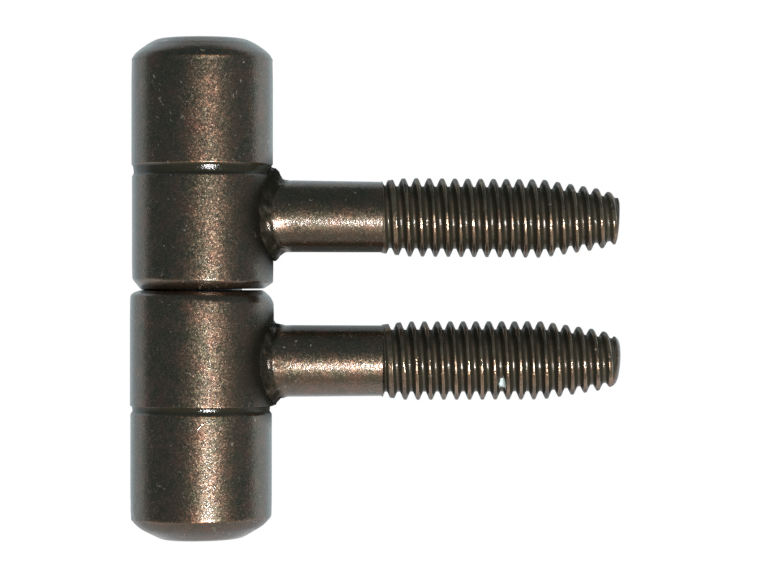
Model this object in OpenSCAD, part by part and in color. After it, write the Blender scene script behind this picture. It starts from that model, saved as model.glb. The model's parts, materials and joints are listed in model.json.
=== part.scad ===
// Drill-in barrel hinge for a rebated door.
// Two turned barrels meet on a pin. Each has a screw-in stem welded to its side:
// the lower one goes into the door frame, and the upper one into the door's edge.
// The origin is on the frame stem's axis, where its full thread starts.
// +X runs along the stems, away from the barrels, and +Z along the pin, towards the door half.

/* [Barrels] */
// Outside diameter of both barrels
barrel_d = 14; // [12:0.5:20]
// Length of each barrel, from its joint face to its outer end
barrel_len = 24.85; // [20:0.05:40]
// Gap between the two joint faces while the door half rides on the pin's crown
joint_gap = 0.15; // [0.1:0.05:1]
// Diameter of the flat on each outer end
end_flat_d = 6; // [3:0.5:9]
// Height of the round between that flat and the barrel's side
end_round_h = 2.1; // [1:0.1:3]

/* [Joint face edges] */
// Radial width of the chamfer round each joint face
chamfer_w = 0.9; // [0.2:0.05:1.2]
// Height of the chamfer on the door barrel
door_chamfer_h = 0.85; // [0.2:0.05:1.5]
// Height of the chamfer on the frame barrel, which is turned flatter
frame_chamfer_h = 0.6; // [0.2:0.05:1.5]

/* [Turned groove] */
// Distance from the joint face to the middle of the groove
groove_from_face = 11.85; // [11:0.05:15]
// Width of the groove at the barrel's surface
groove_w = 1.1; // [0.7:0.05:2]
// Depth of the groove
groove_depth = 0.22; // [0.1:0.02:0.28]
// Width of the flat at the bottom of the groove
groove_floor_w = 0.33; // [0.1:0.01:0.4]

/* [Pin] */
// Diameter of the pin, which is pressed into the frame barrel
pin_d = 8; // [6:0.1:8.5]
// Radial running clearance of the pin in the door barrel
pin_clearance = 0.05; // [0.01:0.01:0.1]
// Metal left between the floor of each barrel's bore and its outer end
end_wall = 4.6; // [3.5:0.1:8]
// Chamfer round the mouth of each bore
bore_lead_in = 0.3; // [0.1:0.05:0.5]
// Diameter of the flat on the pin's crown, which carries the door half
crown_flat_d = 3; // [1.5:0.1:5]
// Height of the round between that flat and the pin's side
crown_h = 1; // [0.5:0.1:2]
// Chamfer at the pin's lower end, for pressing it in
pin_chamfer = 0.5; // [0.2:0.05:1]

/* [Stems] */
// Distance from each barrel's joint face to its stem's axis
stem_from_face = 7.05; // [6:0.05:9]
// Diameter of the plain shank
shank_d = 7.1; // [5:0.1:7.4]
// Length of the plain shank, from the barrel's side to the start of the thread
shank_len = 11.05; // [5:0.05:30]
// Outside diameter of the thread
thread_d = 7.85; // [7.5:0.05:9]
// Length over which the thread rises from the shank to its full diameter
runout_len = 1.2; // [0.5:0.1:3]
// Length of thread at its full diameter
thread_len = 14.55; // [8:0.05:40]
// Length of the tapered point
taper_len = 7.7; // [3:0.1:12]
// Diameter of the point's end over the thread
tip_d = 5; // [3:0.1:6.5]
// Chamfer round the point's end
tip_chamfer = 0.4; // [0.1:0.05:0.8]

/* [Weld collars] */
// Reach of the door stem's collar along the barrel, from the collar's middle
door_collar_reach = 4.5; // [4.3:0.05:5]
// Reach of the frame stem's collar along the barrel
frame_collar_reach = 4.2; // [4.1:0.05:5]
// Shift of the door stem's collar away from the joint face
door_collar_shift = 0.2; // [0:0.01:0.3]
// Shift of the frame stem's collar away from the joint face
frame_collar_shift = 0.13; // [0:0.01:0.3]
// Reach of both collars across the barrel
collar_side = 3.85; // [3.75:0.05:4.2]
// Height of the collars above the barrel's side
collar_h = 0.75; // [0.4:0.05:2]
// Radius of the collars' rounded rim
collar_rim_r = 0.3; // [0.1:0.05:0.35]
// Radius of the hollow fillet between collar and shank
collar_fillet_r = 0.5; // [0.2:0.05:0.55]

/* [Hidden] */

$fn = 96;
// How far a cutting shape runs past the face that it cuts
past = 1;
// How far inside the shank's sides the fillet's oval passes, so that it ends in two lunes
fillet_fade = 0.2;
bronze = "#55443a";
bright_steel = "#a9abad";

barrel_r = barrel_d / 2;
end_flat_r = end_flat_d / 2;
end_round_w = barrel_r - end_flat_r;
// The round is tangent to the end's flat and meets the barrel's side in a crisp edge
end_round_r = (end_round_w * end_round_w + end_round_h * end_round_h) / (2 * end_round_h);

pin_r = pin_d / 2;
bore_depth = barrel_len - end_wall;
pin_len = 2 * bore_depth + joint_gap;
crown_w = pin_r - crown_flat_d / 2;
crown_r = (crown_w * crown_w + crown_h * crown_h) / (2 * crown_h);

shank_r = shank_d / 2;
thread_r = thread_d / 2;
tip_r = tip_d / 2;
// Stations along a stem, measured from the pin's axis
runout_at = barrel_r + shank_len;
thread_at = runout_at + runout_len;
taper_at = thread_at + thread_len;
stem_end = taper_at + taper_len;

pin_x = -thread_at;
frame_face_z = stem_from_face;
door_face_z = frame_face_z + joint_gap;

// Half section of a barrel without its bore: joint face at y = 0, outer end up
module barrel_outline(chamfer_h) {
    round_y = barrel_len - end_round_r;
    difference() {
        union() {
            square([barrel_r, round_y]);
            square([end_flat_r, barrel_len]);
            intersection() {
                translate([end_flat_r, round_y]) circle(end_round_r);
                translate([end_flat_r, round_y]) square([end_round_w, end_round_r + past]);
            }
        }
        joint_chamfer_outline(chamfer_h);
        groove_outline();
    }
}

module joint_chamfer_outline(chamfer_h) {
    slope = chamfer_h / chamfer_w;
    polygon([
        [barrel_r - chamfer_w - past, -past * slope],
        [barrel_r + past, -past * slope],
        [barrel_r + past, chamfer_h + past * slope]
    ]);
}

// The flank on the joint's side slopes at 45 degrees, and the outer one runs out gently
module groove_outline() {
    joint_edge = -groove_w / 2;
    outer_edge = groove_w / 2;
    floor_start = joint_edge + groove_depth;
    floor_end = floor_start + groove_floor_w;
    outer_run = (outer_edge - floor_end) / groove_depth;
    translate([barrel_r, groove_from_face]) polygon([
        [past, joint_edge - past],
        [-groove_depth, floor_start],
        [-groove_depth, floor_end],
        [past, outer_edge + past * outer_run]
    ]);
}

module barrel_form(chamfer_h) {
    rotate_extrude() barrel_outline(chamfer_h);
}

// A barrel on its own axis, bored from its joint face at z = 0
module barrel(chamfer_h, bore_r) {
    mouth_r = bore_r + bore_lead_in;
    difference() {
        barrel_form(chamfer_h);
        translate([0, 0, -past]) cylinder(r = bore_r, h = bore_depth + past);
        translate([0, 0, -past]) cylinder(r1 = mouth_r + past, r2 = bore_r, h = bore_lead_in + past);
    }
}

// Half section of a stem from the pin's axis outwards, y along the stem
module stem_outline() {
    polygon([
        [0, 0],
        [shank_r, 0],
        [shank_r, runout_at],
        [thread_r, thread_at],
        [thread_r, taper_at],
        [tip_r, stem_end - tip_chamfer],
        [tip_r - tip_chamfer, stem_end],
        [0, stem_end]
    ]);
}

// Half section of the collar's disc, with a rounded outer rim
module collar_disc_outline(reach) {
    top = barrel_r + collar_h;
    square([reach - collar_rim_r, top]);
    square([reach, top - collar_rim_r]);
    translate([reach - collar_rim_r, top - collar_rim_r]) circle(collar_rim_r);
}

// Half section of the hollow fillet that runs from the collar's top onto the shank
module collar_fillet_outline() {
    top = barrel_r + collar_h;
    difference() {
        translate([0, top - collar_rim_r]) square([shank_r + collar_fillet_r, collar_rim_r + collar_fillet_r]);
        translate([shank_r + collar_fillet_r, top + collar_fillet_r]) circle(collar_fillet_r);
    }
}

// Two arcs that meet above and below the stem: the upset metal spreads along the barrel, not across it
module collar_oval(reach, side) {
    tall = reach + past;
    arc_r = (side * side + tall * tall) / (2 * side);
    intersection() {
        translate([0, arc_r - side]) circle(arc_r);
        translate([0, side - arc_r]) circle(arc_r);
    }
}

// The upset metal on the stem's own axis, which is z here, with x pointing towards the joint.
// It is a saddle of even height on the barrel's round side.
module collar_saddle(reach, shift) {
    top = barrel_r + collar_h;
    intersection() {
        translate([-shift, 0, 0]) rotate_extrude() collar_disc_outline(reach);
        translate([-shift, 0, 0]) linear_extrude(top) collar_oval(reach, collar_side);
        translate([-barrel_len, 0, 0]) rotate([0, 90, 0]) cylinder(r = top, h = 2 * barrel_len);
    }
}

// The hollow fillet, which fades out towards the shank's sides
module collar_fillet() {
    intersection() {
        rotate_extrude() collar_fillet_outline();
        linear_extrude(barrel_r + collar_h + collar_fillet_r)
            collar_oval(shank_r + collar_fillet_r, shank_r - fillet_fade);
    }
}

// A stem on a barrel whose joint face is at z = 0, saddled to the barrel's side
module stem(chamfer_h, reach, shift) {
    difference() {
        translate([0, 0, stem_from_face]) rotate([0, 90, 0]) {
            rotate_extrude() stem_outline();
            collar_saddle(reach, shift);
            collar_fillet();
        }
        barrel_form(chamfer_h);
    }
}

module in_frame_half() {
    translate([pin_x, 0, frame_face_z]) mirror([0, 0, 1]) children();
}

module in_door_half() {
    translate([pin_x, 0, door_face_z]) children();
}

module frame_barrel() {
    color(bronze) in_frame_half() barrel(frame_chamfer_h, pin_r);
}

module frame_stem() {
    color(bronze) in_frame_half() stem(frame_chamfer_h, frame_collar_reach, frame_collar_shift);
}

// Stands on the floor of the frame barrel's bore and carries the door half on its crown
module pin() {
    round_y = pin_len - crown_r;
    color(bright_steel) translate([pin_x, 0, frame_face_z - bore_depth]) rotate_extrude() {
        difference() {
            square([pin_r, round_y]);
            polygon([
                [pin_r - pin_chamfer - past, -past],
                [pin_r + past, -past],
                [pin_r + past, pin_chamfer + past]
            ]);
        }
        square([crown_flat_d / 2, pin_len]);
        intersection() {
            translate([crown_flat_d / 2, round_y]) circle(crown_r);
            translate([crown_flat_d / 2, round_y]) square([crown_w, crown_r + past]);
        }
    }
}

module door_barrel() {
    color(bronze) in_door_half() barrel(door_chamfer_h, pin_r + pin_clearance);
}

module door_stem() {
    color(bronze) in_door_half() stem(door_chamfer_h, door_collar_reach, door_collar_shift);
}

frame_barrel();
frame_stem();
pin();
door_barrel();
door_stem();
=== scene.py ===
# %% [markdown]
# # A drill-in barrel hinge
# Two short turned barrels meet on a pin. Each has a threaded stem welded to its side: the lower stem
# screws into the door frame and the upper one into the edge of the door. All of it is steel, plated
# with bronze and lacquered dark brown.
#
# The solid model fixes every size and place. It could be dressed with materials alone, but it leaves out
# the thread, the rough weld flash and the soft edges of the turned work. So the barrels and stems are
# rebuilt here as finer meshes in the same places, and only the pin is shown as it comes.

# %% Load the solid model
import json
import math

import bmesh
import bpy
import numpy as np
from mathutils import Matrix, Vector, noise


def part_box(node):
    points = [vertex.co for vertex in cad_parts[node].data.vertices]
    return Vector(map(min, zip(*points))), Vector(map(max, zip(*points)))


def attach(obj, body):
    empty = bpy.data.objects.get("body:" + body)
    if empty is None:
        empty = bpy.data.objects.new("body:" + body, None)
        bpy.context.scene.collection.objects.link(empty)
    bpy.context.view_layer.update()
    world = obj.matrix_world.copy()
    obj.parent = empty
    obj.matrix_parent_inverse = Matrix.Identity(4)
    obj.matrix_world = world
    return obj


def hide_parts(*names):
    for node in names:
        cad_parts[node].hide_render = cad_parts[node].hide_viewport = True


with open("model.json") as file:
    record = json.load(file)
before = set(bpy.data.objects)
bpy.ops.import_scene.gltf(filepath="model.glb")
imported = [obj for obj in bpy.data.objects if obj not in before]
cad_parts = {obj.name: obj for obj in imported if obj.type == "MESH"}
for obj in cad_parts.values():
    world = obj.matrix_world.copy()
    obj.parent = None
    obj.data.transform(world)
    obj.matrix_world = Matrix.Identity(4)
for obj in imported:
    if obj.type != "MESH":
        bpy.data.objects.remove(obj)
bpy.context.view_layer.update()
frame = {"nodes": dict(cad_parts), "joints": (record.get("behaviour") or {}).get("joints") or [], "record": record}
MM = 0.001
swing = frame["joints"][0]
pin_x, pin_y, mid_gap_z = swing["pos_m"]
mounts = {m["name"]: m for m in frame["record"]["mounts"]}
print("nodes", sorted(frame["nodes"]), "pin axis at x", round(pin_x / MM, 3), "mm")

# %% [markdown]
# ## The camera
# The photograph looks almost square at the hinge from in front, with both stems pointing to the right.
# Parallel edges hardly converge in it, so the lens is long. The camera could be placed by eye, but three
# measures settle it: one pixel is 0.0993 mm at the hinge, the round ends of the barrels open as they
# would from about 320 mm away, and the slant of the thread's crests puts the camera 1.7 degrees to the left.

# %% Camera
IMAGE_WIDE = 757
MM_PER_PIXEL = 0.0993
SENSOR_WIDE = 36
CAMERA_FAR = 320 * MM
CAMERA_LEFT = math.radians(1.7)
NEAREST_SEEN = 10 * MM
aim = Vector((-1.72 * MM, 0, 7.80 * MM))

camera_data = bpy.data.cameras.new("camera")
camera_data.sensor_width = SENSOR_WIDE
camera_data.lens = SENSOR_WIDE * CAMERA_FAR / (IMAGE_WIDE * MM_PER_PIXEL * MM)
camera_data.clip_start = NEAREST_SEEN
camera = bpy.data.objects.new("camera", camera_data)
bpy.context.scene.collection.objects.link(camera)
camera.location = aim - CAMERA_FAR * Vector((math.sin(CAMERA_LEFT), math.cos(CAMERA_LEFT), 0))
camera.rotation_euler = (math.radians(90), 0, -CAMERA_LEFT)
bpy.context.scene.camera = camera
print("lens", round(camera_data.lens, 1), "mm, from", CAMERA_FAR / MM, "mm")

# %% [markdown]
# ## Colours and nodes
# Colours are written as the eye sees them, in sRGB hex, and Blender's sockets want linear light, so one
# function turns one into the other. A second small function adds any node, sets it and links it, and hands
# back the node or one of its outputs, which keeps each material readable as a list of its layers.

# %% Helpers for colours and nodes
def linear(hex_colour):
    # The numbers are those of the sRGB standard's curve
    parts = [int(hex_colour[i:i + 2], 16) / 255 for i in (1, 3, 5)]
    return tuple(p / 12.92 if p <= 0.04045 else ((p + 0.055) / 1.055) ** 2.4 for p in parts) + (1.0,)


def add(tree, kind, inputs=None, out=None, **settings):
    node = tree.nodes.new("ShaderNode" + kind)
    for name, value in settings.items():
        setattr(node, name, value)
    for key, value in (inputs or {}).items():
        if isinstance(value, bpy.types.NodeSocket):
            tree.links.new(value, node.inputs[key])
        else:
            node.inputs[key].default_value = value
    return node if out is None else node.outputs[out]


def new_tree(name):
    material = bpy.data.materials.new(name)
    material.use_nodes = True
    material.node_tree.nodes.clear()
    return material, material.node_tree


def per_mm(size):
    return 1 / (size * MM)


print("bronze brown in linear light:", [round(c, 3) for c in linear("#6f5b49")[:3]])

# %% [markdown]
# ## Studio
# The hinge was photographed against white. Lacquered metal shows its surroundings more than its own
# colour: here its outer edges reflect white, its middle is dark because the room in front of it was
# dark, and one soft lamp draws the streak down each barrel and along each stem. White walls all round
# would wash that out, so the surroundings are white only behind the hinge and dim in front. The edge
# between the two is quite crisp on the metal. It lies nearest on the right and furthest back overhead.

# %% Where the surroundings are white
BACKDROP_EDGE = (0.07, 0.27)
EDGE_TO_RIGHT, EDGE_OVERHEAD = 0.065, -0.25

world = bpy.data.worlds.new("studio")
bpy.context.scene.world = world
world.use_nodes = True
sky = world.node_tree
sky.nodes.clear()
way = add(sky, "SeparateXYZ", {0: add(sky, "TexCoord", out="Generated")}).outputs
upward = add(sky, "Math", {0: way["Z"], 1: 0.0}, 0, operation="MAXIMUM")
back = add(sky, "Math", {0: way["X"], 1: EDGE_TO_RIGHT, 2: way["Y"]}, 0, operation="MULTIPLY_ADD")
back = add(sky, "Math", {0: upward, 1: EDGE_OVERHEAD, 2: back}, 0, operation="MULTIPLY_ADD")
behind = add(sky, "MapRange", {"Value": back, "From Min": BACKDROP_EDGE[0], "From Max": BACKDROP_EDGE[1]},
             "Result", interpolation_type="SMOOTHSTEP")
rays = add(sky, "LightPath").outputs
mirrored = add(sky, "Math", {0: rays["Is Glossy Ray"], 1: rays["Is Transmission Ray"]}, 0,
               operation="ADD", use_clamp=True)
backdrop = add(sky, "Math", {0: mirrored, 1: behind}, 0, operation="MULTIPLY")
print("the white begins over", BACKDROP_EDGE, "of the way back")

# %% [markdown]
# The camera sees plain white in every direction. Reflections see a bluish white behind, a little brighter
# towards the right. Straight behind the hinge it is darker, because the very rim of the barrels is grey
# in the photograph.

# %% Colours of the surroundings
DIM_ROOM, BACKDROP_WHITE, PLAIN_WHITE = "#637478", "#eefcff", "#ffffff"
REFLECTOR_EDGE, RIGHT_REFLECTOR = (0.2, 0.9), 1.25
SHADE_EDGE, SHADE = (0.90, 0.98), -0.35

shown = add(sky, "Mix", {"Factor": backdrop, "A": linear(DIM_ROOM), "B": linear(BACKDROP_WHITE)}, "Result",
            data_type="RGBA")
shown = add(sky, "Mix", {"Factor": rays["Is Camera Ray"], "A": shown, "B": linear(PLAIN_WHITE)}, "Result",
            data_type="RGBA")
bright = add(sky, "MapRange", {"Value": way["X"], "From Min": REFLECTOR_EDGE[0],
                               "From Max": REFLECTOR_EDGE[1], "To Min": 1.0, "To Max": RIGHT_REFLECTOR},
             "Result")
shade = add(sky, "MapRange", {"Value": way["Y"], "From Min": SHADE_EDGE[0], "From Max": SHADE_EDGE[1],
                              "To Max": SHADE}, "Result", interpolation_type="SMOOTHSTEP")
bright = add(sky, "Math", {0: shade, 1: mirrored, 2: bright}, 0, operation="MULTIPLY_ADD")
surround = add(sky, "Background", {"Color": shown, "Strength": bright}, 0)
add(sky, "OutputWorld", {"Surface": surround})
print("world:", DIM_ROOM, "in front,", BACKDROP_WHITE, "behind")

# %% [markdown]
# The floor is a pale disc well below the hinge, which is held by its stem and doesn't stand on anything.
# The main view doesn't reach it. It gives the lower sides something pale to reflect and catches the
# shadow in views from above. For the camera it is lifted towards white, and its rim fades into the white
# altogether, so no edge shows. In reflections, the part behind the hinge is white.

# %% Floor paint
FLOOR_R = 900 * MM
RIM_FADE = (0.25 * FLOOR_R, 0.9 * FLOOR_R)
FLOOR_LIFT = 0.55
LIT_FROM, LIT_TO = -140 * MM, 40 * MM
FLOOR_PAINT, FLOOR_ROUGH = "#f1e7dc", 0.5

paint, tree = new_tree("pale matt floor paint")
place = add(tree, "TexCoord", out="Object")
out_from_middle = add(tree, "VectorMath", {0: place}, "Value", operation="LENGTH")
rim = add(tree, "MapRange", {"Value": out_from_middle, "From Min": RIM_FADE[0], "From Max": RIM_FADE[1],
                             "To Min": FLOOR_LIFT}, "Result", interpolation_type="SMOOTHSTEP")
rays = add(tree, "LightPath").outputs
shown = add(tree, "Math", {0: rays["Is Camera Ray"], 1: rays["Is Transmission Ray"]}, 0,
            operation="ADD", use_clamp=True)
far_off = add(tree, "Math", {0: rim, 1: shown}, 0, operation="MULTIPLY")
back = add(tree, "SeparateXYZ", {0: place}, "Y")
lit = add(tree, "MapRange", {"Value": back, "From Min": LIT_FROM, "From Max": LIT_TO}, "Result",
          interpolation_type="SMOOTHSTEP")
mirrored = add(tree, "Math", {0: lit, 1: rays["Is Glossy Ray"]}, 0, operation="MULTIPLY")
whiten = add(tree, "Math", {0: far_off, 1: mirrored}, 0, operation="MAXIMUM")
matt = add(tree, "BsdfDiffuse", {"Color": linear(FLOOR_PAINT), "Roughness": FLOOR_ROUGH}, 0)
glow = add(tree, "Emission", {"Color": linear(PLAIN_WHITE), "Strength": 1.0}, 0)
mixed = add(tree, "MixShader", {0: whiten, 1: matt, 2: glow}, 0)
add(tree, "OutputMaterial", {"Surface": mixed})
print("floor paint", FLOOR_PAINT, "fading into white by", round(RIM_FADE[1] / MM), "mm")

# %% Floor
FLOOR_Z = -250 * MM
FLOOR_AROUND = 96

turns = np.linspace(0, 2 * math.pi, FLOOR_AROUND, endpoint=False)
floor_mesh = bpy.data.meshes.new("floor")
floor_mesh.from_pydata([(FLOOR_R * math.cos(t), FLOOR_R * math.sin(t), 0) for t in turns], [],
                       [list(range(len(turns)))])
floor_mesh.materials.append(paint)
floor = bpy.data.objects.new("floor", floor_mesh)
floor.location = (0, 0, FLOOR_Z)
bpy.context.scene.collection.objects.link(floor)
print("floor at", FLOOR_Z / MM, "mm from the frame stem's axis")

# %% [markdown]
# The streaks tell where the lamp stood: on the barrels they sit a little right of the middle, and on the
# stems below it, so the lamp was in front, to the right and low. Their width tells its size. A lamp's
# brightness to the eye is its power spread over its area, so the power is worked out from that. A second
# lamp lights the floor from behind and above and isn't reflected in the metal.

# %% Lamps
def soft_lamp(name, right, up, far, wide, brightness, spread=180):
    side, rise = math.radians(right), math.radians(up)
    toward = Vector((math.sin(side) * math.cos(rise), -math.cos(side) * math.cos(rise), math.sin(rise)))
    data = bpy.data.lights.new(name, "AREA")
    data.shape = "DISK"
    data.size = wide
    data.energy = brightness * math.pi * math.pi * wide * wide / 4
    data.spread = math.radians(spread)
    lamp = bpy.data.objects.new(name, data)
    lamp.location = Vector((pin_x, pin_y, mid_gap_z)) + far * toward
    lamp.rotation_euler = toward.to_track_quat("Z", "Y").to_euler()
    lamp.visible_camera = False
    bpy.context.scene.collection.objects.link(lamp)
    print(name, [round(c / MM) for c in lamp.location], "mm,", round(data.energy, 3), "W")
    return lamp


soft_lamp("key_lamp", right=13.7, up=-19.3, far=700 * MM, wide=120 * MM, brightness=28.5, spread=80)
floor_lamp = soft_lamp("floor_lamp", right=180, up=60, far=700 * MM, wide=400 * MM, brightness=8.0)
floor_lamp.visible_glossy = False

# %% [markdown]
# ## Bronzed lacquer
# The finish is a thin bronze plating on steel under a dark brown lacquer. The plating is made of fine
# flakes that each face a slightly different way: near the lamp's reflection some of them flash and their
# neighbours don't, so the streak of light is brown and full of sparkles. The clear lacquer on top adds a
# narrow white glint and neutral grey edges. Paint with no metal in it would give white glints only. So
# this is a Principled shader with metallic 1 and a coat. Along the edges the light has a long way through
# the brown lacquer and the metal fades, which the shader's edge tint does.
#
# The real flakes are far finer than a pixel. They are drawn at about 0.11 mm, so that they show.
# Over them lie blotches from olive to rust, dark pits and short scratches. Six numbers stored in the
# meshes say where the finish differs, and some of them paint light as well. Where it is rubbed, the copper
# shows; on the barrels' edges it is made strongest towards the front, where it paints the lamp's glints.
# Where welding scorched it, it is black and dull, and the same number paints shade on the barrels beside
# the stems, on the shanks where they face each other and along the thread's top and bottom. Oil hides the
# metal and leaves a narrow glint, and caked dirt is darker still; in the grooves both also paint shade.
# Burnished crests are pale and smooth, most of all where the lamp's glints fall, so they paint highlight
# too, and one fleck of pale filler is stuck to a thread.

# %% Colours and layers of the finish
TONES = ((0.36, "#504a39"), (0.46, "#5b4d3e"), (0.54, "#675342"), (0.66, "#715041"))
# Some covers also paint light: worn copper glints; scorched, oily and caked shade; burnished highlight
COVERS = (("pale", "#c9beac"), ("scratch", "#7d776c"), ("pit", "#1d1a16"), ("worn_and_glint", "#bd8358"),
          ("scorch_dirt_and_shade", "#36332a"), ("oily_and_shaded", "#414035"), ("caked_and_shaded", "#1d1a0e"), ("burnished_and_glint", "#c2a184"),
          ("stuck", "#e4f0f0"))
FAR_EDGE = "#1c2022"
LAYERS_MM = {"blotch": 1.6, "wave": 1.3, "scratch": 2.0, "pit": 0.55, "fleck": 0.30, "grain": 0.17}
LAYER_DETAIL = 2.0
FLAKE_MM, FLAKE_TILT = 0.11, 0.10
MASKS = ("rubbed_and_glint", "scorch_dirt_and_shade", "oily_and_shaded", "caked_and_shaded", "burnished_and_glint", "filler")
print("finish from", TONES[0][1], "to", TONES[-1][1], "under", len(COVERS), "kinds of marks and dirt")

# %% [markdown]
# The plating's tone mixes blotches, flecks and single flakes. Marks come from the same patterns: a scratch
# follows one level line of a slow pattern, but only where a second one is high, which keeps it short.
# Rubbed and stuck places get a ragged edge from the flecks.

# %% Tones and marks
BLOTCH_SHARE, FLECK_SHARE, FLAKE_SHARE = 0.60, 0.25, 0.15
SCRATCH_LEVEL, SCRATCH_HALF = 0.5, 0.010
RAGGED_GAIN, RAGGED_OFFSET = 0.9, -0.45
# Where each mark begins, where it is full and how much it then covers
MARKS = {"scratch": (0.62, 0.66, 1.0), "pit": (0.26, 0.22, 1.0), "worn_and_glint": (0.35, 0.75, 1.0),
         "stuck": (0.45, 0.55, 1.0), "pale": (0.80, 0.95, 0.16)}


def plating_tone(tree, layer, one_flake):
    tone = add(tree, "Math", {0: layer["blotch"], 1: BLOTCH_SHARE}, 0, operation="MULTIPLY")
    tone = add(tree, "Math", {0: layer["fleck"], 1: FLECK_SHARE, 2: tone}, 0, operation="MULTIPLY_ADD")
    tone = add(tree, "Math", {0: one_flake["Y"], 1: FLAKE_SHARE, 2: tone}, 0, operation="MULTIPLY_ADD")
    ramp = add(tree, "ValToRGB", {"Fac": tone})
    shades = ramp.color_ramp.elements
    shades[0].position, shades[1].position = TONES[0][0], TONES[-1][0]
    shades[0].color, shades[1].color = linear(TONES[0][1]), linear(TONES[-1][1])
    for position, shade in TONES[1:-1]:
        shades.new(position).color = linear(shade)
    return ramp.outputs["Color"]


def find_marks(tree, layer, mask, one_flake):
    ragged = add(tree, "Math", {0: layer["fleck"], 1: RAGGED_GAIN, 2: RAGGED_OFFSET}, 0,
                 operation="MULTIPLY_ADD")
    pattern = {"scratch": layer["pit"], "pit": layer["pit"], "pale": one_flake["Y"],
               "worn_and_glint": add(tree, "Math", {0: mask["rubbed_and_glint"], 1: ragged}, 0, operation="ADD"),
               "stuck": add(tree, "Math", {0: mask["filler"], 1: ragged}, 0, operation="ADD")}
    found = {}
    for key, (begins, full, most) in MARKS.items():
        found[key] = add(tree, "MapRange", {"Value": pattern[key], "From Min": begins, "From Max": full,
                                            "To Max": most}, "Result")
    line = add(tree, "Math", {0: layer["scratch"], 1: SCRATCH_LEVEL, 2: SCRATCH_HALF}, 0,
               operation="COMPARE")
    found["scratch"] = add(tree, "Math", {0: line, 1: found["scratch"]}, 0, operation="MULTIPLY")
    return found


print("tone:", BLOTCH_SHARE, "blotches,", FLECK_SHARE, "flecks,", FLAKE_SHARE, "single flakes")

# %% [markdown]
# The metal and the coat don't share one surface: flakes tilt the metal, and a fine grain ripples the
# lacquer, both on a gentle swell. Scorched, dull and oily places and those with painted shade are rougher,
# burnished ones smoother. Scratches, oil and filler aren't metal, and the coat is weaker where it is
# scorched, oily or caked and where shade is painted.

# %% Relief and gloss
WAVE_HIGH, GRAIN_HIGH = 0.012 * MM, 0.024 * MM
ROUGH_FLECKS, ROUGH = (0.3, 0.7), (0.35, 0.43)
DULL_ROUGHER, BURNISHED_ROUGHER = 0.28, -0.30
COAT_CHANGES = (("scorch_dirt_and_shade", -0.95), ("oily_and_shaded", -0.15), ("caked_and_shaded", -0.35))


def relief(tree, layer, flakes):
    swell = add(tree, "Bump", {"Height": layer["wave"], "Distance": WAVE_HIGH}, "Normal")
    tilt = add(tree, "VectorMath", {0: flakes, 1: (2 * FLAKE_TILT,) * 3, 2: (-FLAKE_TILT,) * 3}, 0,
               operation="MULTIPLY_ADD")
    tilted = add(tree, "VectorMath", {0: swell, 1: tilt}, 0, operation="ADD")
    sparkle = add(tree, "VectorMath", {0: tilted}, 0, operation="NORMALIZE")
    skin = add(tree, "Bump", {"Height": layer["grain"], "Distance": GRAIN_HIGH, "Normal": swell}, "Normal")
    return sparkle, skin


def gloss(tree, layer, share):
    rough = add(tree, "MapRange", {"Value": layer["fleck"], "From Min": ROUGH_FLECKS[0],
                                   "From Max": ROUGH_FLECKS[1], "To Min": ROUGH[0], "To Max": ROUGH[1]},
                "Result")
    dull = add(tree, "Math", {0: share["scorch_dirt_and_shade"], 1: share["oily_and_shaded"]}, 0, operation="MAXIMUM")
    rough = add(tree, "Math", {0: dull, 1: DULL_ROUGHER, 2: rough}, 0, operation="MULTIPLY_ADD")
    rough = add(tree, "Math", {0: share["burnished_and_glint"], 1: BURNISHED_ROUGHER, 2: rough}, 0,
                operation="MULTIPLY_ADD")
    cover = add(tree, "Math", {0: share["stuck"], 1: share["oily_and_shaded"]}, 0, operation="MAXIMUM")
    cover = add(tree, "Math", {0: share["scratch"], 1: cover}, 0, operation="MAXIMUM")
    metal = add(tree, "Math", {0: 1.0, 1: cover}, 0, operation="SUBTRACT")
    coat = 1.0
    for key, change in COAT_CHANGES:
        coat = add(tree, "Math", {0: share[key], 1: change, 2: coat}, 0, operation="MULTIPLY_ADD",
                   use_clamp=True)
    return rough, metal, coat


print("roughness", ROUGH, "on clean lacquer,", DULL_ROUGHER, "more where it is scorched or oily")

# %% Bronzed lacquer
EDGE_LEVEL, COAT_ROUGH, COAT_IOR = 0.1, 0.15, 1.6


def bronzed(name):
    material, tree = new_tree(name)
    place = add(tree, "TexCoord", out="Object")
    layer = {key: add(tree, "TexNoise", {"Vector": place, "Scale": per_mm(size), "Detail": LAYER_DETAIL},
                      "Fac")
             for key, size in LAYERS_MM.items()}
    mask = {key: add(tree, "Attribute", out="Fac", attribute_name=key) for key in MASKS}
    flakes = add(tree, "TexVoronoi", {"Vector": place, "Scale": per_mm(FLAKE_MM)}, "Color")
    one_flake = add(tree, "SeparateXYZ", {0: flakes}).outputs
    share = mask | find_marks(tree, layer, mask, one_flake)
    colour = plating_tone(tree, layer, one_flake)
    for key, shade in COVERS:
        colour = add(tree, "Mix", {"Factor": share[key], "A": colour, "B": linear(shade)}, "Result",
                     data_type="RGBA")
    sparkle, skin = relief(tree, layer, flakes)
    rough, metal, coat = gloss(tree, layer, share)
    shader = add(tree, "BsdfPrincipled", {
        "Base Color": colour, "Metallic": metal, "Roughness": rough, "Normal": sparkle,
        "Specular Tint": linear(FAR_EDGE), "Specular IOR Level": EDGE_LEVEL, "Coat Weight": coat,
        "Coat Roughness": COAT_ROUGH, "Coat IOR": COAT_IOR, "Coat Normal": skin}, 0)
    add(tree, "OutputMaterial", {"Surface": shader})
    print("made", name, "with flakes of", FLAKE_MM, "mm")
    return material


barrel_finish = bronzed("bronzed_lacquer_on_turned_steel")
stem_finish = bronzed("bronzed_lacquer_on_rolled_steel")

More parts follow.
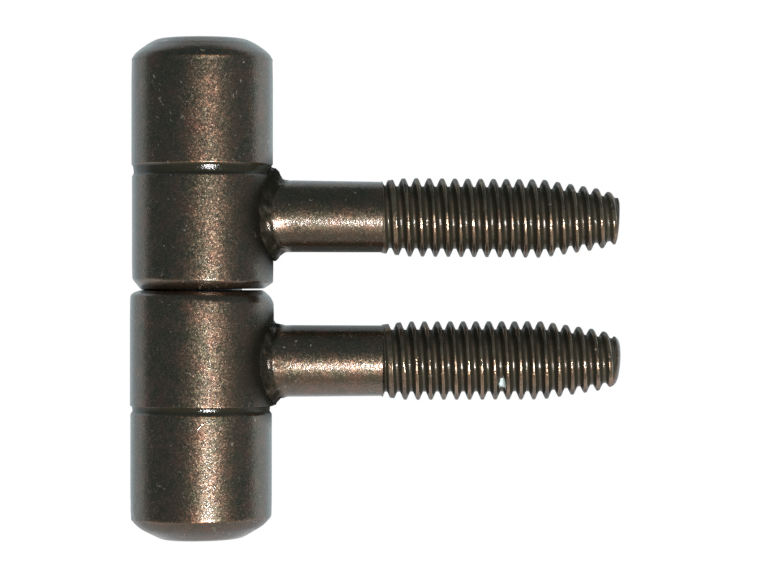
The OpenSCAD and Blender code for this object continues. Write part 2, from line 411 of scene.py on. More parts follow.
# %% [markdown]
# ## From points to a piece
# Barrels and stems are both worked out as rows of points. One function turns such rows into a mesh, stores
# the six numbers that the finish reads, joins points that coincide and counts open edges, which tells
# at once whether the skin is closed.

# %% Make a piece from rows of points
JOIN_WITHIN = 0.001 * MM


def ring_faces(first, second, count):
    return [(first + j, first + (j + 1) % count, second + (j + 1) % count, second + j) for j in range(count)]


def make_piece(name, node, body, points, faces, masks, material):
    mesh = bpy.data.meshes.new(name)
    mesh.from_pydata((np.array(points) * MM).tolist(), [], faces)
    for mask in MASKS:
        values = np.asarray(masks.get(mask, np.zeros(len(points))), np.float32)
        mesh.attributes.new(mask, "FLOAT", "POINT").data.foreach_set("value", values)
    work = bmesh.new()
    work.from_mesh(mesh)
    bmesh.ops.remove_doubles(work, verts=work.verts, dist=JOIN_WITHIN)
    bmesh.ops.recalc_face_normals(work, faces=work.faces)
    open_edges = sum(1 for e in work.edges if len(e.link_faces) != 2)
    work.to_mesh(mesh)
    work.free()
    mesh.polygons.foreach_set("use_smooth", [True] * len(mesh.polygons))
    mesh.materials.append(material)
    piece = bpy.data.objects.new(name, mesh)
    bpy.context.scene.collection.objects.link(piece)
    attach(piece, body)
    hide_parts(node)
    print(name, len(mesh.polygons), "faces,", open_edges, "open edges")
    return piece


print("points closer than", JOIN_WITHIN / MM, "mm become one")

# %% [markdown]
# ## Turned barrels
# Each barrel was turned in a lathe from round bar: a domed end, a shallow groove, a chamfer at the joint
# and a blind bore for the pin. A lathe is also the natural way to model it: draw half of the section
# once and spin it. All lengths from here on are in millimetres. A corner of a section is given by two
# lengths and by how far it is cut back: radius and drop from the outer end on the dome, depth below the
# side and height above the joint face in the groove and at the joint.

# %% Sections of both barrels
DOOR_END = ((4.40, 0.13, 0.50), (5.40, 0.65, 0.12), (6.27, 1.25, 0.30), (6.75, 1.68, 0.25),
            (7.02, 2.16, 0.08), (7.0, 2.50, 0.10))
FRAME_END = ((3.95, 0.13, 0.50), (6.05, 1.25, 0.35), (6.52, 1.68, 0.25), (6.97, 2.18, 0.08),
             (7.0, 2.40, 0.05))
DOOR_JOINT = ((0.0, 0.80, 0.14), (0.9, 0.0, 0.25))
FRAME_JOINT = ((0.0, 0.92, 0.18), (0.27, 0.46, 0.30), (0.95, 0.03, 0.20), (1.2, 0.0, 0.05))
DOOR_GROOVE = ((0, 12.32, 0.05), (0.15, 12.10, 0.08), (0.23, 11.60, 0.10), (0.23, 11.40, 0.06),
               (0, 11.10, 0.05))
FRAME_GROOVE = ((0, 12.27, 0.05), (0.20, 11.98, 0.06), (0.20, 11.82, 0.06), (0.155, 11.53, 0.05),
                (0, 11.44, 0.04))
print("section corners: door", len(DOOR_END + DOOR_GROOVE + DOOR_JOINT),
      "frame", len(FRAME_END + FRAME_GROOVE + FRAME_JOINT))

# %% [markdown]
# Corners of real turned and tumbled parts are never quite sharp, so each corner of the section is rounded
# a little, which is what catches the light. The side is slightly crowned towards its ends, because
# tumbling wears the ends first, and the streak of light brightens there.

# %% Soften a section
CORNER_STEPS = 6
LONGEST_STEP = 0.25
END_WALL = 4.6
BORE_LEAD_IN, BORE_CUT = 0.3, 0.05
# Metal round the bore that crowning and turning faults leave in place
BORE_SKIN = 0.6
CROWN_LONG, CROWN_DROP = 2.5, 0.035


def soften(corners):
    points = []
    for i, (r, h, cut) in enumerate(corners):
        here = np.array((r, h))
        if cut == 0:
            points.append(here)
            continue
        before, after = np.array(corners[i - 1][:2]) - here, np.array(corners[i + 1][:2]) - here
        start = here + before / np.linalg.norm(before) * min(cut, 0.5 * np.linalg.norm(before))
        end = here + after / np.linalg.norm(after) * min(cut, 0.5 * np.linalg.norm(after))
        for s in np.linspace(0, 1, CORNER_STEPS):
            points.append((1 - s) ** 2 * start + 2 * s * (1 - s) * here + s ** 2 * end)
    return np.array(points)


def refine(points):
    fine = [points[0]]
    for a, b in zip(points[:-1], points[1:]):
        count = max(1, math.ceil(np.linalg.norm(b - a) / LONGEST_STEP))
        fine += [a + (b - a) * k / count for k in range(1, count + 1)]
    return np.array(fine)


def barrel_section(long, r, barrel):
    end, joint, bore_r = barrel["end"], barrel["joint"], barrel["bore_r"]
    dome = [(dome_r, long - drop, cut) for dome_r, drop, cut in end]
    groove = [(r - deep, h, cut) for deep, h, cut in barrel["groove"]]
    face = [(r - inset, h, cut) for inset, h, cut in joint]
    bore_deep = long - END_WALL
    bore = [(bore_r + BORE_LEAD_IN, 0, BORE_CUT), (bore_r, BORE_LEAD_IN, BORE_CUT), (bore_r, bore_deep, 0),
            (0, bore_deep, 0)]
    section = refine(soften([(0, long, 0)] + dome + groove + face + bore))
    to_end = np.minimum(section[:, 1] - joint[0][1], long - end[-1][1] - section[:, 1])
    drop = CROWN_DROP * (1 - np.clip(to_end / CROWN_LONG, 0, 1)) ** 2
    section[:, 0] -= drop * np.clip((section[:, 0] - bore_r - BORE_SKIN) / (r - bore_r - BORE_SKIN), 0, 1)
    return section


print("a corner becomes", CORNER_STEPS, "points, and the side drops", CROWN_DROP, "mm at its ends")

# %% [markdown]
# Spun, the section gives the points of a barrel. Its finish wears first along its edges, and the wear is
# made strongest towards the front, where its copper paints the lamp's glints on those edges. Soot lies round
# the weld and spreads over the barrel beside the stem as painted shade. Oil and caked dirt lie in the
# groove and also paint the shade of that recess, and the frame barrel's end is a little grimy.

# %% Spin a barrel and wear it
BARREL_AROUND = 192
OUTSIDE_FADE = 1.0
STEM_FROM_FACE = 7.05
# Weld soot, spread over the barrel beside the stem as painted shade
SCORCH_AND_SHADE_R, SCORCH_AND_SHADE_FADE = 6.8, 2.0
# Edge wear, strongest towards the front, where its copper paints the lamp's glints
RIM_RUB, EDGE_RUB, LOW_RUB, RUB_WIDE, RUB_AWAY_FROM_GLINTS = 0.58, 0.45, 0.38, 0.13, 0.20
# Oil and caked dirt in the groove, which also paint the shade of that recess
GROOVE_OIL_AND_SHADE, GROOVE_DIRT_AND_SHADE = 0.88, 0.75
GROOVE_EDGE, GROOVE_FADE, GRIME_FADE = 0.03, 0.08, 0.1


def spin(section, r, bore_r):
    turns = np.linspace(0, 2 * math.pi, BARREL_AROUND, endpoint=False)
    rings = [np.stack((ring_r * np.cos(turns), ring_r * np.sin(turns), np.full(len(turns), h)), 1)
             for ring_r, h in section]
    points = np.concatenate(rings)
    faces = sum((ring_faces(i * BARREL_AROUND, (i + 1) * BARREL_AROUND, BARREL_AROUND)
                 for i in range(len(section) - 1)), [])
    spun_r = np.linalg.norm(points[:, :2], axis=1)
    at = {"r": spun_r, "height": points[:, 2].copy(), "turn": np.tile(turns, len(section)),
          "outside": np.clip((spun_r - bore_r - BORE_SKIN) / OUTSIDE_FADE, 0, 1),
          "toward_stem": points[:, 0] / r}
    return points, faces, at


def barrel_wear(points, at, long, r, barrel):
    end, groove, height = barrel["end"], barrel["groove"], at["height"]
    edges = [(RIM_RUB, end[-2][0], long - end[-2][1]), (EDGE_RUB, r, groove[0][1]),
             (LOW_RUB, r, groove[-1][1]), (EDGE_RUB, r, barrel["joint"][0][1])]
    rub = sum(much * np.exp(-((at["r"] - edge_r) ** 2 + (height - h) ** 2) / RUB_WIDE ** 2)
              for much, edge_r, h in edges)
    # Copper wear weighted to the front paints the lamp's glints on the edges
    toward_glints = np.cos(at["turn"] - math.radians(barrel["rub_and_glint_toward"]))
    rub *= RUB_AWAY_FROM_GLINTS + (1 - RUB_AWAY_FROM_GLINTS) * np.clip(toward_glints, 0, 1) ** 2
    from_weld = np.hypot(points[:, 1], height - STEM_FROM_FACE)
    # Weld soot, spreading into painted shade on the barrel beside the stem
    soot_and_shade = np.clip((SCORCH_AND_SHADE_R - from_weld) / SCORCH_AND_SHADE_FADE, 0, 1) * (at["toward_stem"] > 0) * at["outside"]
    in_groove = (height < groove[0][1]) & (height > groove[-1][1])
    # Oil and dirt in the groove, also painted shade of the recess
    dirt_and_shade = np.clip((r - GROOVE_EDGE - at["r"]) / GROOVE_FADE, 0, 1) * in_groove * at["outside"]
    darkening = barrel["end_dirt"] * np.clip((height - long + end[-2][1]) / GRIME_FADE, 0, 1) * at["outside"]
    return {"rubbed_and_glint": rub, "scorch_dirt_and_shade": np.maximum(soot_and_shade, darkening), "oily_and_shaded": GROOVE_OIL_AND_SHADE * dirt_and_shade,
            "caked_and_shaded": GROOVE_DIRT_AND_SHADE * dirt_and_shade}


print("a barrel has", BARREL_AROUND, "points to a ring")

# %% [markdown]
# The real hinge isn't perfect. The outside of each barrel was turned a hair off its bore, so the two don't
# quite line up. The door barrel's joint face runs a little out of square, so the gap closes on its left,
# and the chamfers of both barrels run out of square too. The frame barrel swells near its weld, its end
# isn't square either, and its lower rim was knocked several times. All of these are small moves of the
# spun points.

# %% Faults of turning and use
# Outside of a barrel near its rim: heights, and the radius at each
RIM_HEIGHTS, RIM_RADII = (0, 22.75, 24.85), (7.0, 7.0, 5.0)
NEAR_AXIS = 1
FACE_LONG, FACE_R, FACE_DROP_MOST = 1, 6.1, 0.147
CORNER_LONG = 2.2
END_LONG, END_FADE, END_TILT_FROM = 3.2, 0.7, 0.7


def knock(points, angle, height, wide, deep):
    at_r = np.interp(height, RIM_HEIGHTS, RIM_RADII)
    spot = np.array((at_r * math.cos(math.radians(angle)), at_r * math.sin(math.radians(angle)), height))
    near = np.exp(-np.sum((points - spot) ** 2, axis=1) / wide ** 2)
    from_axis = np.linalg.norm(points[:, :2], axis=1).clip(NEAR_AXIS)
    points[:, :2] -= (deep * near / from_axis)[:, None] * points[:, :2]


def barrel_faults(points, at, long, r, barrel):
    groove, height, toward_stem = barrel["groove"], at["height"], at["toward_stem"]
    joint_side = np.clip((groove[-2][1] - height) / (groove[-2][1] - groove[-1][1]), 0, 1) * at["outside"]
    near_face = np.clip(FACE_LONG - height, 0, 1)
    near_end = np.clip((height - (long - END_LONG)) / END_FADE, 0, 1)
    corner = np.sin(math.pi * np.clip(height / CORNER_LONG, 0, 1)) * at["outside"]
    slope = barrel["face_skew"] * (1 - points[:, 0] / FACE_R)
    points[:, 2] -= near_face * np.minimum(FACE_DROP_MOST, slope)
    points[:, 2] += (corner * barrel["corner_skew"] * toward_stem
                     - near_end * barrel["end_skew"] * (END_TILT_FROM + toward_stem))
    for mark in barrel["knocks"]:
        knock(points, *mark)
    all_round, at_weld = barrel["swell"]
    bulge = joint_side * (all_round + at_weld * np.clip(toward_stem, 0, 1) ** 2) / r
    points[:, :2] *= 1 + bulge[:, None]
    end_side, face_side = barrel["off_axis"]
    points[:, 0] += at["outside"] * end_side + joint_side * (face_side - end_side)


print("the joint face may close the gap by", FACE_DROP_MOST, "mm")

# %% [markdown]
# One long scratch on the frame barrel raised a bright burr. A line in the colours alone would be lost among
# the flakes, so it is a thin ridge of its own, three points wide, that tapers towards both ends.

# %% A raised scratch
SCRATCHED = [(-94.2, 14.16), (-93.4, 13.94), (-92.4, 13.74), (-91.2, 13.52), (-89.9, 13.29),
             (-88.6, 13.12), (-87.3, 12.99), (-86.0, 12.88), (-85.0, 12.80)]
BURR_WIDE, BURR_PROUD, BURR_SUNK, BURR_TIP = 0.24, 0.06, 0.03, 0.2


def burr(line, r, first):
    points, faces = [], []
    for k, (turn, h) in enumerate(line):
        size = BURR_TIP + (1 - BURR_TIP) * math.sin(math.pi * k / (len(line) - 1))
        for side, out in ((-0.5, -BURR_SUNK), (0, BURR_PROUD * size), (0.5, -BURR_SUNK)):
            aside = side * BURR_WIDE * size
            t = math.radians(turn) + aside / r
            points.append(((r + out) * math.cos(t), (r + out) * math.sin(t), h + aside))
    for k in range(len(line) - 1):
        faces += ring_faces(first + 3 * k, first + 3 * k + 3, 3)
    last = first + len(points) - 3
    faces += [(first, first + 1, first + 2), (last, last + 1, last + 2)]
    return np.array(points), faces


print("scratch in", len(SCRATCHED) - 1, "steps,", BURR_PROUD, "mm proud")

# %% Both barrels
RIM_KNOCKS = [(184, 21.0, 0.35, 0.06), (190, 21.9, 0.45, 0.09), (181, 22.5, 0.40, 0.10),
              (197, 22.5, 0.30, 0.06), (206, 21.3, 0.30, 0.05), (176, 21.6, 0.35, 0.07)]
DOOR_BARREL = {
    "end": DOOR_END, "groove": DOOR_GROOVE, "joint": DOOR_JOINT, "bore_r": 4.05,
    "off_axis": (0.05, 0.10), "swell": (0, 0), "face_skew": 0.085, "corner_skew": -0.2, "end_skew": 0.0,
    "knocks": [], "scratch": [], "rub_and_glint_toward": -78, "end_dirt": 0.0}
FRAME_BARREL = {
    "end": FRAME_END, "groove": FRAME_GROOVE, "joint": FRAME_JOINT, "bore_r": 4.0,
    "off_axis": (-0.06, -0.06), "swell": (0.04, 0.17), "face_skew": 0.0, "corner_skew": 0.35,
    "end_skew": 0.13, "knocks": RIM_KNOCKS, "scratch": SCRATCHED, "rub_and_glint_toward": -90, "end_dirt": 0.28}


def make_barrel(node, body, up, barrel):
    low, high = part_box(node)
    long, r = (high.z - low.z) / MM, (high.x - low.x) / 2 / MM
    points, faces, at = spin(barrel_section(long, r, barrel), r, barrel["bore_r"])
    masks = barrel_wear(points, at, long, r, barrel)
    barrel_faults(points, at, long, r, barrel)
    if barrel["scratch"]:
        raised, sides = burr(barrel["scratch"], r, len(points))
        points = np.concatenate((points, raised + (barrel["off_axis"][0], 0, 0)))
        faces = faces + sides
        masks = {name: np.concatenate((mask, np.zeros(len(raised)))) for name, mask in masks.items()}
        masks["burnished_and_glint"] = np.arange(len(points)) >= len(points) - len(raised)
    points[:, 2] = points[:, 2] * up + (low.z if up > 0 else high.z) / MM
    points[:, :2] += np.array((pin_x, pin_y)) / MM
    return make_piece(node + "_turned", node, body, points, faces, masks, barrel_finish)


make_barrel("door_barrel", "door_half", up=1, barrel=DOOR_BARREL)
make_barrel("frame_barrel", "frame_half", up=-1, barrel=FRAME_BARREL)

# %% [markdown]
# ## Threaded stems
# A stem is a plain shank, a rolled thread with a tapered point, and a rough collar where welding upset
# its inner end against the barrel. The thread could be cut with a screw modifier and a boolean, but that
# leaves ragged faces. Instead, the mesh rows follow the helix: each row climbs one pitch in a turn and
# joins the row one pitch further on, so crests and roots stay clean from the first turn to the tip.
# Distances along a stem are measured from the pin's axis.

# %% Thread form
PITCH = 1.28
CREST_R, ROOT_R = 3.90, 3.08
SHANK_R = 3.50
THREAD_AT, TAPER_AT = 17.85, 33.8
TAPER_LONG, CREST_IN_TAPER = (0.0, 5.6, 7.35), (3.90, 3.03, 2.50)
ROOT_TAPER = math.tan(math.radians(7.4))
# Of half a pitch: how much is root and how much is flank, which is partly straight and partly rounded
ROOT_SHARE, FLANK_SHARE = 0.19, 0.63
STRAIGHT, ROUNDED = 0.55, 0.45
# The first turns: pitches until the root is full and until the crest is, and the crest's first height
ROOT_GROWS, CREST_GROWS, CREST_START = 0.28, 2.4, 0.08


def thread_radius(along, phi, start):
    phase = (along - start) / PITCH - phi / (2 * math.pi)
    ramp = 1 - 2 * np.abs(phase - np.round(phase))
    flank = np.clip((ramp - ROOT_SHARE) / FLANK_SHARE, 0, 1)
    form = STRAIGHT * flank + ROUNDED * flank * flank * (3 - 2 * flank)
    into = np.clip(along - TAPER_AT, 0, None)
    crest = np.interp(into, TAPER_LONG, CREST_IN_TAPER)
    root = ROOT_R - into * ROOT_TAPER
    begun = np.clip((along - THREAD_AT) / (ROOT_GROWS * PITCH), 0, 1)
    root = SHANK_R + (root - SHANK_R) * begun * begun * (3 - 2 * begun)
    grown = np.clip((along - THREAD_AT) / (CREST_GROWS * PITCH), 0, 1)
    limit = SHANK_R + CREST_START + (CREST_R - SHANK_R) * grown
    return np.minimum(root + (crest - root) * form, limit), form


print("thread", PITCH, "mm pitch,", round(CREST_R - ROOT_R, 2), "mm deep")

# %% [markdown]
# Small nicks in the crests come from noise that is read along the stem's own surface, so both ends of a
# turn meet. The same noise later makes wear patchy.

# %% Unevenness and nicks
NOISE_R = 4
NICK_DEEP, NICK_MM, NICK_LEAST = 0.10, 0.9, 0.25


def uneven(along, phi, seed, size):
    spots = np.stack((along, NOISE_R * np.cos(phi), NOISE_R * np.sin(phi) + seed), 1) / size
    return np.array([noise.noise(Vector(p)) for p in spots])


def nicked_radius(along, phi, stem):
    r, form = thread_radius(along, phi, stem["start"])
    nicks = NICK_DEEP * np.clip(uneven(along, phi, stem["seed"], NICK_MM) - NICK_LEAST, 0, 1)
    return np.where(along > THREAD_AT, r - form * nicks, r), form


print("nicks up to", round(NICK_DEEP * (1 - NICK_LEAST), 3), "mm deep")

# %% [markdown]
# A collar is given by three outlines, at its top, its bottom and its sides: how far it reaches from the
# stem's axis, and how high it stands above the barrel there. Between the three it blends, and fractal
# noise makes it ragged.

# %% Collar form
COLLAR_ROWS = 26
BARREL_R = 7.0
FLASH_AROUND, FLASH_ALONG = 3.4, 3.0
# Roughness, step in scale and number of octaves of the fractal noise
FLASH_NOISE = (0.7, 2.1, 5)
FLASH_HIGH, FLASH_FADE, FLASH_LIFT = 0.13, 0.7, 0.6


def collar_rows(outlines, phi, seed):
    weights = {"top": np.clip(np.sin(phi), 0, 1) ** 2, "bottom": np.clip(-np.sin(phi), 0, 1) ** 2,
               "side": np.cos(phi) ** 2}
    rows = []
    for s in np.linspace(0, 1, COLLAR_ROWS):
        reach, lift = np.zeros(len(phi)), np.zeros(len(phi))
        for name, weight in weights.items():
            known = np.linspace(0, 1, len(outlines[name]))
            reach += weight * np.interp(s, known, [p[0] for p in outlines[name]])
            lift += weight * np.interp(s, known, [p[1] for p in outlines[name]])
        spots = [Vector((FLASH_AROUND * math.cos(t), FLASH_AROUND * math.sin(t), FLASH_ALONG * s + seed))
                 for t in phi]
        ragged = np.array([noise.fractal(spot, *FLASH_NOISE) for spot in spots])
        ragged *= FLASH_HIGH * math.sin(math.pi * s) ** FLASH_FADE
        reach, lift = reach + ragged, lift + FLASH_LIFT * ragged
        y, z = reach * np.cos(phi), reach * np.sin(phi)
        rows.append(np.stack((np.sqrt(BARREL_R ** 2 - y ** 2) + lift, y, z), 1))
    return rows


print("collar:", COLLAR_ROWS, "rows that follow the barrel's round side")

# %% [markdown]
# Welding scorched the collars, except for bare patches. The shanks are darkened too, with painted shade:
# the upper one mostly underneath and the lower one on top, where the two face each other.

# %% Collar and shank
STEM_AROUND = 144
SHANK_AT, SHANK_ROWS = 8.95, 24
COLLAR_BARE, BARE_MM, BARE_MOST = 0.8, 0.7, 0.75
SCORCH_ENDS = 3.2
# Painted shade changes from below a shank to its sides and on to its top at these sines
SHANK_SHADE_SIDES = (-0.90, -0.68, 0.50, 0.82)


def ring(along, r, phi):
    return np.stack((along + 0 * phi, r * np.cos(phi), r * np.sin(phi)), 1)


def inner_rows(stem, phi):
    rows = collar_rows(stem["collar"], phi, stem["seed"])
    soot_and_shade = []
    for s, row in zip(np.linspace(0, 1, COLLAR_ROWS), rows):
        bare = np.clip(COLLAR_BARE * uneven(row[:, 0], phi, stem["seed"], BARE_MM), 0, BARE_MOST)
        soot_and_shade.append(min(1.0, SCORCH_ENDS * (1 - s)) * (1 - bare))
    # Painted shade on the shank: below, beside and above
    under, beside, above = stem["soot_and_shade"]
    shank_shade = np.interp(np.sin(phi), SHANK_SHADE_SIDES, (under, beside, beside, above))
    for along in np.linspace(SHANK_AT, THREAD_AT, SHANK_ROWS):
        r = SHANK_R + stem["taper"] * (THREAD_AT - along) / (THREAD_AT - SHANK_AT)
        rows.append(ring(along, r, phi))
        soot_and_shade.append(shank_shade)
    return rows, soot_and_shade


print("shank:", SHANK_ROWS, "rows of", STEM_AROUND, "points")

# %% [markdown]
# In the thread, oil lies on the flanks and in the roots, and the flanks are dull. Along the top and the bottom
# the thread is darker, in the roots most of all: that is painted shade. Use burnished the crests in patches,
# most of all at the sides, where the lamp's glints fall, so the burnish also paints highlight. Each of these
# depends on the thread's form, which is 0 in the root and 1 on the crest, or on the sine of the angle.

# %% Wear of the thread
WEAR_BEGINS = 0.3
RUB_OFF = 0.1
OILY, DULL_FLANK, BURNISH = 0.85, 0.85, 0.90
OILY_FORM = (0.03, 0.12, 0.58, 0.82), (0.55, 1, 1, 0)
DULL_FORM = (0.03, 0.15, 0.66, 0.90), (0, 1, 1, 0.1)
# Painted shade: roots darker along the top and bottom of the thread
ROOT_SHADE_FORM = (0.03, 0.15), (1, 0)
ROOT_SHADE_SIDES = (-0.75, -0.45, 0.45, 0.75), (0.6, 0, 0, 1)
# Painted shade: the whole thread darker at its top and bottom
TOP_BOTTOM_SHADE_SIDES = (0.72, 0.95), (0, 0.6)
BURNISH_FORM = (0.72, 0.94), (0, 1)
# Burnish strongest at the sides, where the lamp's glints fall: partly painted highlight
BURNISH_TOWARD_GLINTS = (0.25, 0.70), (1, 0.35)
PATCH_MM, PATCH_MEAN, PATCH_GAIN = 1.7, 0.62, 1.2


def thread_wear(along, phi, form, stem):
    begun = np.clip((along - THREAD_AT) / WEAR_BEGINS, 0, 1)
    dull = np.interp(form, *DULL_FORM)
    # Painted shade in the roots at top and bottom, and on the whole thread there
    root_shade = np.interp(form, *ROOT_SHADE_FORM) * np.interp(np.sin(phi), *ROOT_SHADE_SIDES)
    darkening = np.interp(np.abs(np.sin(phi)), *TOP_BOTTOM_SHADE_SIDES)
    patchy = np.clip(PATCH_MEAN + PATCH_GAIN * uneven(along, phi, stem["seed"], PATCH_MM), 0, 1)
    # Burnish weighted to the sides paints highlight where the glints fall
    toward_glints = np.interp(np.abs(np.sin(phi)), *BURNISH_TOWARD_GLINTS)
    return {"rubbed_and_glint": np.clip(stem["rub"] * form - RUB_OFF, 0, 1),
            "oily_and_shaded": OILY * begun * np.interp(form, *OILY_FORM),
            "scorch_dirt_and_shade": DULL_FLANK * begun * np.maximum(np.maximum(dull, root_shade), darkening),
            "burnished_and_glint": BURNISH * begun * patchy * toward_glints * np.interp(form, *BURNISH_FORM)}


print("thread wear: oil", OILY, "dull flanks", DULL_FLANK, "burnished crests", BURNISH)

# %% Rows of the thread and the tip
ROWS_PER_PITCH = 20


def stem_end(stem, phi):
    return stem["tip_at"] + stem["tip_slant"] * np.sin(phi)


def thread_rows(stem, phi):
    count = math.ceil((stem["tip_at"] - THREAD_AT) / PITCH + 1) * ROWS_PER_PITCH + 1
    rows, wear = [], []
    for k in range(count):
        climb = (k / ROWS_PER_PITCH - 1 + phi / (2 * math.pi)) * PITCH
        along = np.clip(THREAD_AT + climb, THREAD_AT, stem_end(stem, phi))
        r, form = nicked_radius(along, phi, stem)
        rows.append(ring(along, r, phi))
        wear.append(thread_wear(along, phi, form, stem))
    return rows, wear


def cap_rows(stem, phi):
    end = stem_end(stem, phi)
    end_r, _ = nicked_radius(end, phi, stem)
    return [ring(end * shrink + stem["tip_at"] * (1 - shrink) + out, shrink * end_r, phi)
            for shrink, out in stem["cap"]]


print("thread:", ROWS_PER_PITCH, "rows to a pitch")

# %% [markdown]
# The faces follow the rows. A thread row doesn't close on itself: its last point joins the first point of
# the row one pitch further on. Rows before the thread's start are pressed flat against the shank's end and
# vanish when points that coincide are joined.

# %% Faces of a stem
def stem_faces(inner, thread, cap):
    around = STEM_AROUND
    faces = [(0, 1 + (j + 1) % around, 1 + j) for j in range(around)]
    for i in range(inner - 1):
        faces += ring_faces(1 + i * around, 1 + (i + 1) * around, around)
    base = 1 + inner * around
    for k in range(thread - 1):
        a, b = base + k * around, base + (k + 1) * around
        faces += ring_faces(a, b, around)[:-1]
        if k + 1 + ROWS_PER_PITCH < thread:
            c = base + (k + ROWS_PER_PITCH) * around
            faces.append((a + around - 1, c, c + around, b + around - 1))
    base += thread * around
    for k in range(cap - 1):
        faces += ring_faces(base + k * around, base + (k + 1) * around, around)
    last = base + (cap - 1) * around
    return faces + [(last + j, last + (j + 1) % around, last + around) for j in range(around)]


print("a thread row ends where the one", ROWS_PER_PITCH, "rows on begins")

# %% [markdown]
# A stem runs from a point inside the barrel to the middle of its tip. It was welded on a little high and
# not quite level, so the finished points are lifted and tilted before they are put in place.

# %% Build a stem
STEM_INNER = 5.0
TIP_RUB = 0.3
LIFT_LONG, TILT_FROM = 2, 9.0


def filler_fleck(points, along, turn, wide, tall):
    around = np.arctan2(points[:, 2], points[:, 1]) - math.radians(turn)
    around = (around + math.pi) % (2 * math.pi) - math.pi
    return np.exp(-((points[:, 0] - along) / wide) ** 2 - (around * ROOT_R / tall) ** 2)


def make_stem(node, body, axis_z, stem):
    phi = np.linspace(0, 2 * math.pi, STEM_AROUND, endpoint=False)
    inner, soot_and_shade = inner_rows(stem, phi)
    thread, wear = thread_rows(stem, phi)
    cap = cap_rows(stem, phi)
    start = np.array([(STEM_INNER, 0, 0)])
    tip = np.array([(stem["tip_at"] + stem["cap"][-1][1], 0, 0)])
    points = np.concatenate([start] + inner + thread + cap + [tip])
    faces = stem_faces(len(inner), len(thread), len(cap))

    before, after = np.zeros(1 + len(inner) * STEM_AROUND), np.zeros(len(cap) * STEM_AROUND + 1)
    masks = {name: np.concatenate([before] + [row[name] for row in wear] + [after]) for name in wear[0]}
    masks["scorch_dirt_and_shade"][:len(before)] = np.concatenate([np.ones(1)] + soot_and_shade)
    masks["rubbed_and_glint"][-len(after):] = TIP_RUB
    if stem["filler_at"]:
        masks["filler"] = filler_fleck(points, *stem["filler_at"])

    points[:, 2] += stem["lift"] * np.clip((points[:, 0] - BARREL_R) / LIFT_LONG, 0, 1)
    points[:, 2] -= np.clip(points[:, 0] - TILT_FROM, 0, None) * math.tan(math.radians(stem["tilt"]))
    points += np.array((pin_x, pin_y, axis_z)) / MM
    return make_piece(node + "_threaded", node, body, points, faces, masks, stem_finish)


print("stems start", STEM_INNER, "mm from the pin's axis, inside the barrels")

# %% [markdown]
# The two stems differ, as welded parts do: the upper collar is taller and its stem's tip is chipped flat,
# and the lower tip is round. The lower thread carries the fleck of filler.

# %% Both stems
DOOR_COLLAR = {
    "top": [(5.10, -0.40), (4.98, 0.00), (4.80, 0.32), (4.50, 0.66), (4.10, 0.88), (3.78, 1.02),
            (3.62, 1.30), (3.55, 1.75)],
    "bottom": [(4.27, -0.40), (4.30, -0.10), (4.35, 0.24), (4.12, 0.65), (3.75, 0.88), (3.61, 1.00),
               (3.56, 1.30), (3.55, 1.60)],
    "side": [(4.85, -0.30), (4.50, 0.00), (4.18, 0.14), (3.94, 0.33), (3.77, 0.58), (3.65, 0.82),
             (3.57, 1.02), (3.55, 1.30)]}
FRAME_COLLAR = {
    "top": [(4.10, -0.40), (4.09, -0.10), (4.04, 0.15), (3.90, 0.30), (3.75, 0.50), (3.65, 0.75),
            (3.58, 1.00), (3.55, 1.30)],
    "bottom": [(4.34, -0.40), (4.34, 0.00), (4.32, 0.30), (4.10, 0.55), (3.85, 0.78), (3.70, 1.00),
               (3.60, 1.20), (3.55, 1.50)],
    "side": DOOR_COLLAR["side"]}
CHIPPED_END = [(1.0, 0.0), (0.97, 0.10), (0.88, 0.17), (0.60, 0.20), (0.25, 0.20)]
ROUND_END = [(1.0, 0.0), (0.97, 0.16), (0.88, 0.38), (0.72, 0.55), (0.45, 0.66), (0.20, 0.70)]
FILLER_SPOT = (29.7, -136, 0.36, 0.85)
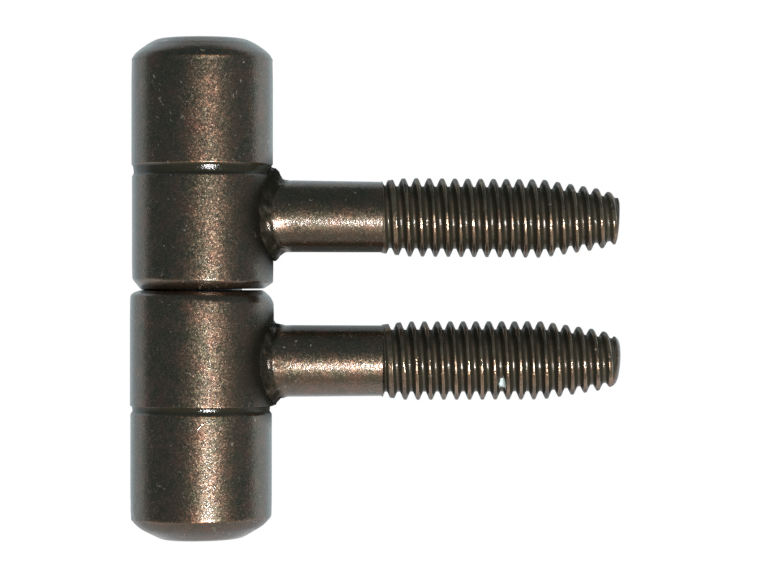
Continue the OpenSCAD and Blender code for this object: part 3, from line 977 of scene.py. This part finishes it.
# A stem's soot is painted shade on its shank: below, beside and above
DOOR_STEM = {
    "collar": DOOR_COLLAR, "seed": 4.0, "start": 19.67, "rub": 0.12, "soot_and_shade": (0.85, 0.23, 0.0),
    "taper": 0.06, "lift": 0.125, "tilt": 0.50, "tip_at": 41.15, "tip_slant": 0.15, "cap": CHIPPED_END,
    "filler_at": None}
FRAME_STEM = {
    "collar": FRAME_COLLAR, "seed": 11.0, "start": 20.50, "rub": 0.17, "soot_and_shade": (0.0, 0.0, 0.42),
    "taper": 0.05, "lift": 0.02, "tilt": -0.10, "tip_at": 40.85, "tip_slant": 0.15, "cap": ROUND_END,
    "filler_at": FILLER_SPOT}

make_stem("door_stem", "door_half", mounts["door_thread"]["pos_m"][2], DOOR_STEM)
make_stem("frame_stem", "frame_half", mounts["frame_thread"]["pos_m"][2], FRAME_STEM)

# %% [markdown]
# ## Pin
# Only a sliver of the pin shows, in the gap between the barrels. It is bare ground steel, and its solid
# already has the right form, so the solid stays and gets a material: fine rings from the grinding wheel
# run round it, drawn here at 0.2 mm, coarser than they are, so that they show.

# %% Ground steel
RING_MM, RINGS_LONG = 0.2, 0.05
RING_DETAIL, RING_DEEP = 3.0, 0.004 * MM
RING_DARK, RING_PALE = "#6b6c6e", "#95979a"
RING_ROUGH = (0.22, 0.38)

ground_steel, tree = new_tree("ground_bearing_steel")
place = add(tree, "TexCoord", out="Object")
squeezed = add(tree, "Mapping", {"Vector": place, "Scale": (RINGS_LONG, RINGS_LONG, 1.0)}, "Vector")
rings = add(tree, "TexNoise", {"Vector": squeezed, "Scale": per_mm(RING_MM), "Detail": RING_DETAIL}, "Fac")
shade = add(tree, "Mix", {"Factor": rings, "A": linear(RING_DARK), "B": linear(RING_PALE)}, "Result",
            data_type="RGBA")
rough = add(tree, "MapRange", {"Value": rings, "To Min": RING_ROUGH[0], "To Max": RING_ROUGH[1]}, "Result")
bump = add(tree, "Bump", {"Height": rings, "Distance": RING_DEEP}, "Normal")
steel = add(tree, "BsdfPrincipled", {"Base Color": shade, "Metallic": 1.0, "Roughness": rough,
                                     "Normal": bump}, 0)
add(tree, "OutputMaterial", {"Surface": steel})
pin = frame["nodes"]["pin"]
pin.data.materials.clear()
pin.data.materials.append(ground_steel)
print("pin:", len(pin.data.polygons), "faces from the solid model")

# %% [markdown]
# ## Colour view
# The Standard view shows colours as they were written, where a filmic one would bend them.

# %% Colour view
bpy.context.scene.view_settings.view_transform = "Standard"
